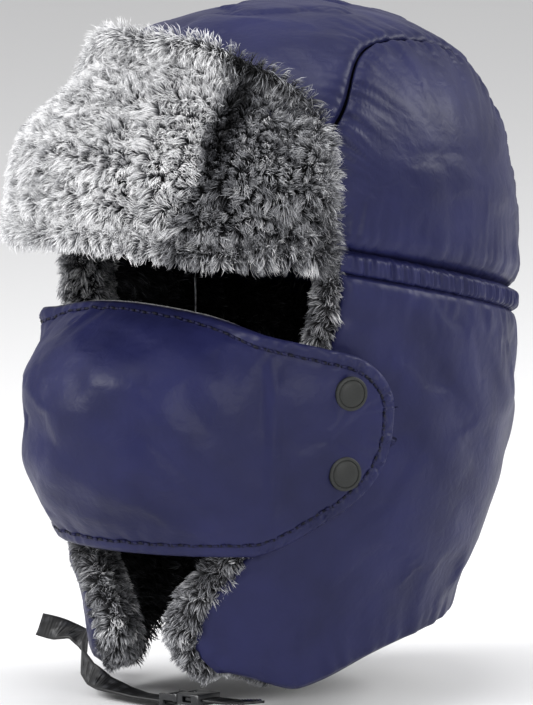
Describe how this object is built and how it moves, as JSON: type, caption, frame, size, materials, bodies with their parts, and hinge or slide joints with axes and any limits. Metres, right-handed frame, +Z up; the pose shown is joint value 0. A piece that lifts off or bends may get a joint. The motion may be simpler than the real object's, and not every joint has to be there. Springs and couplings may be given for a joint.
{
  "type": "trapper hat",
  "caption": "Padded trapper hat with a turned-up fur brim, ear flaps joined to a neck guard, a face mask held by snap fasteners and a buckled chin strap.",
  "frame": {"origin": "middle of the head opening, at the height of the gathered band's middle line over the ears", "axes": "+Z up through the crown, -Y out of the face opening, +X to the wearer's left"},
  "size_m": [0.2083, 0.2609, 0.3108],
  "materials": {
    "navy_nylon": "satin navy nylon",
    "wadding": "white polyester wadding",
    "lining_fur": "dark grey fur pile with lighter tips",
    "brim_fur": "frosted grey and white fur pile",
    "mask_lining": "brushed knit",
    "thread": "twisted polyester thread",
    "snap_plastic": "matt",
    "snap_metal": "blackened",
    "webbing": "ribbed black webbing",
    "buckle_plastic": "moulded",
    "elastic": "knitted elastic",
    "label": "blank woven ribbon"
  },
  "bodies": {
    "root": {"crown_top_panel": "navy_nylon", "crown_side_panel_left": "navy_nylon", "crown_side_panel_right": "navy_nylon", "crown_wadding": "wadding", "crown_lining": "lining_fur", "band_casing": "navy_nylon", "elastic_band": "elastic", "flap_shell": "navy_nylon", "flap_wadding": "wadding", "flap_fur_lining": "lining_fur", "care_label": "label", "brim_seam_tape": "navy_nylon", "snap_studs": "snap_metal", "snap_washers": "snap_metal", "near_strap": "webbing", "buckle_socket": "buckle_plastic", "far_strap": "webbing", "strap_tail": "webbing", "strap_stitches": "thread"},
    "brim": {"brim_fur": "brim_fur", "brim_pad": "wadding", "brim_backing": "navy_nylon"},
    "mask": {"mask_shell": "navy_nylon", "mask_padding": "wadding", "mask_lining": "mask_lining", "mask_topstitching": "thread", "snap_caps": "snap_plastic", "snap_sockets": "snap_metal"},
    "plug": {"buckle_plug": "buckle_plastic"},
    "prong_front": {"buckle_prong_front": "buckle_plastic"},
    "prong_back": {"buckle_prong_back": "buckle_plastic"}
  },
  "joints": [
    {"name": "brim_fold", "type": "hinge", "parent": "root", "child": "brim", "pos_m": [0, -0.114, 0.02], "axis": [1, 0, 0], "range_deg": [0, 100]},
    {"name": "mask_pull_off", "type": "slide", "parent": "root", "child": "mask", "axis": [0, -1, 0], "range_m": [0, 0.12]},
    {"name": "buckle_release", "type": "slide", "parent": "root", "child": "plug", "axis": [-1, 0, 0], "range_m": [0, 0.014]},
    {"name": "prong_front_squeeze", "type": "hinge", "parent": "plug", "child": "prong_front", "pos_m": [0.013, -0.0845, -0.189], "axis": [0, 0, 1], "range_deg": [0, 6], "stiffness_Nm_per_rad": 0.02},
    {"name": "prong_back_squeeze", "type": "hinge", "parent": "plug", "child": "prong_back", "pos_m": [0.013, -0.0755, -0.189], "axis": [0, 0, -1], "range_deg": [0, 6], "stiffness_Nm_per_rad": 0.02}
  ]
}
